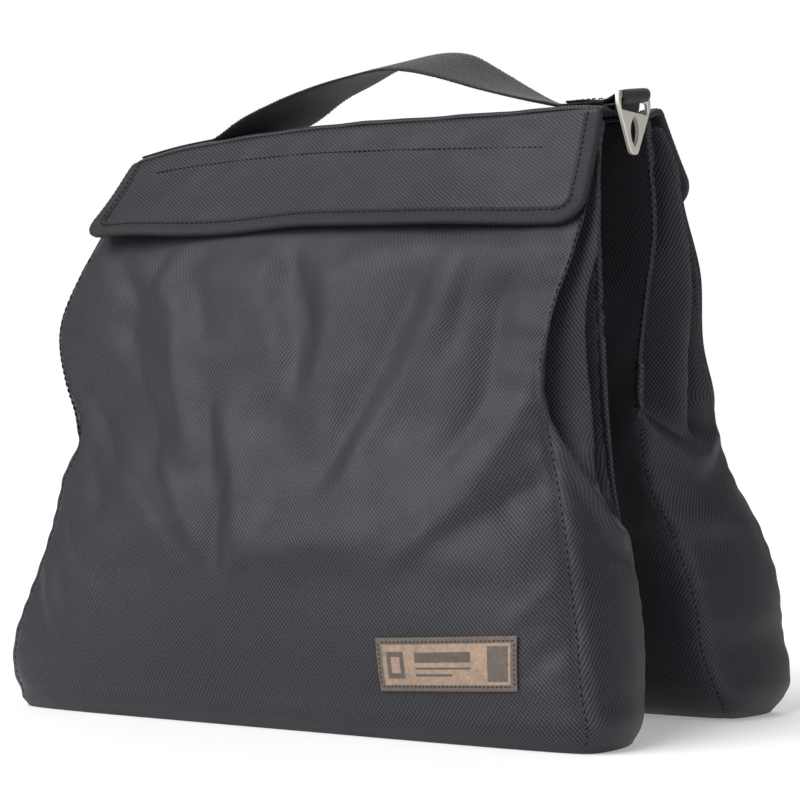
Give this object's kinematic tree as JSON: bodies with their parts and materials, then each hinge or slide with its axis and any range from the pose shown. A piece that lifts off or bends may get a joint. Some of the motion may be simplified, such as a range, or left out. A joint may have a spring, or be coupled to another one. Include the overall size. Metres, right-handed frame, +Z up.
{
  "type": "saddle sandbag",
  "caption": "Saddle sandbag: fabric pouches joined by a bridge, with flaps over their mouths, sand liners, a webbing handle and a hanging ring.",
  "frame": {"origin": "centre of the footprint, on the surface that the sandbag stands on", "axes": "+X along the bridge towards the hanger ring, +Y towards the rear pouch, +Z up"},
  "size_m": [0.348, 0.2338, 0.3378],
  "materials": {
    "twill": "charcoal polyester twill, matt",
    "webbing": "ribbed charcoal webbing",
    "binding": "folded binding tape, stitched",
    "fastening_tape": "black hook and loop tape",
    "liner": "coated liner fabric",
    "sand": "dry sand",
    "tie": "nylon tie",
    "label": "woven label",
    "ring_steel": "satin nickel plated steel"
  },
  "bodies": {
    "saddle": {"saddle_bridge": "twill", "handle_left_end": "webbing", "handle_right_end": "webbing", "ring_tab": "webbing"},
    "handle": {"handle_strap": "webbing"},
    "ring": {"hanger_ring": "ring_steel"},
    "front_pouch": {"front_pouch_wrap": "twill", "front_left_gusset": "twill", "front_right_gusset": "twill", "front_liner_bag": "liner", "front_sand_fill": "sand", "front_liner_tie": "tie", "front_loop_tape": "fastening_tape", "label_patch": "label"},
    "rear_pouch": {"rear_pouch_wrap": "twill", "rear_left_gusset": "twill", "rear_right_gusset": "twill", "rear_liner_bag": "liner", "rear_sand_fill": "sand", "rear_liner_tie": "tie", "rear_loop_tape": "fastening_tape"},
    "front_flap": {"front_flap_panel": "twill", "front_flap_binding": "binding", "front_hook_tape": "fastening_tape"},
    "rear_flap": {"rear_flap_panel": "twill", "rear_flap_binding": "binding", "rear_hook_tape": "fastening_tape"}
  },
  "joints": [
    {"name": "front_pouch_swing", "type": "hinge", "parent": "saddle", "child": "front_pouch", "pos_m": [0, -0.0436, 0.3018], "axis": [-1, 0, 0], "range_deg": [-5, 25]},
    {"name": "rear_pouch_swing", "type": "hinge", "parent": "saddle", "child": "rear_pouch", "pos_m": [0, -0.0004, 0.3018], "axis": [1, 0, 0], "range_deg": [-5, 25]},
    {"name": "front_flap_lift", "type": "hinge", "parent": "front_pouch", "child": "front_flap", "pos_m": [0, -0.0436, 0.3018], "axis": [-1, 0, 0], "range_deg": [0, 95]},
    {"name": "rear_flap_lift", "type": "hinge", "parent": "rear_pouch", "child": "rear_flap", "pos_m": [0, -0.0004, 0.3018], "axis": [1, 0, 0], "range_deg": [0, 95]},
    {"name": "handle_sway", "type": "hinge", "parent": "saddle", "child": "handle", "pos_m": [0.014, -0.022, 0.315], "axis": [1, 0, 0], "range_deg": [-30, 30], "stiffness_Nm_per_rad": 0.04},
    {"name": "ring_swing", "type": "hinge", "parent": "saddle", "child": "ring", "pos_m": [0.1545, -0.022, 0.3075], "axis": [0, -1, 0], "range_deg": [-4, 240]}
  ]
}
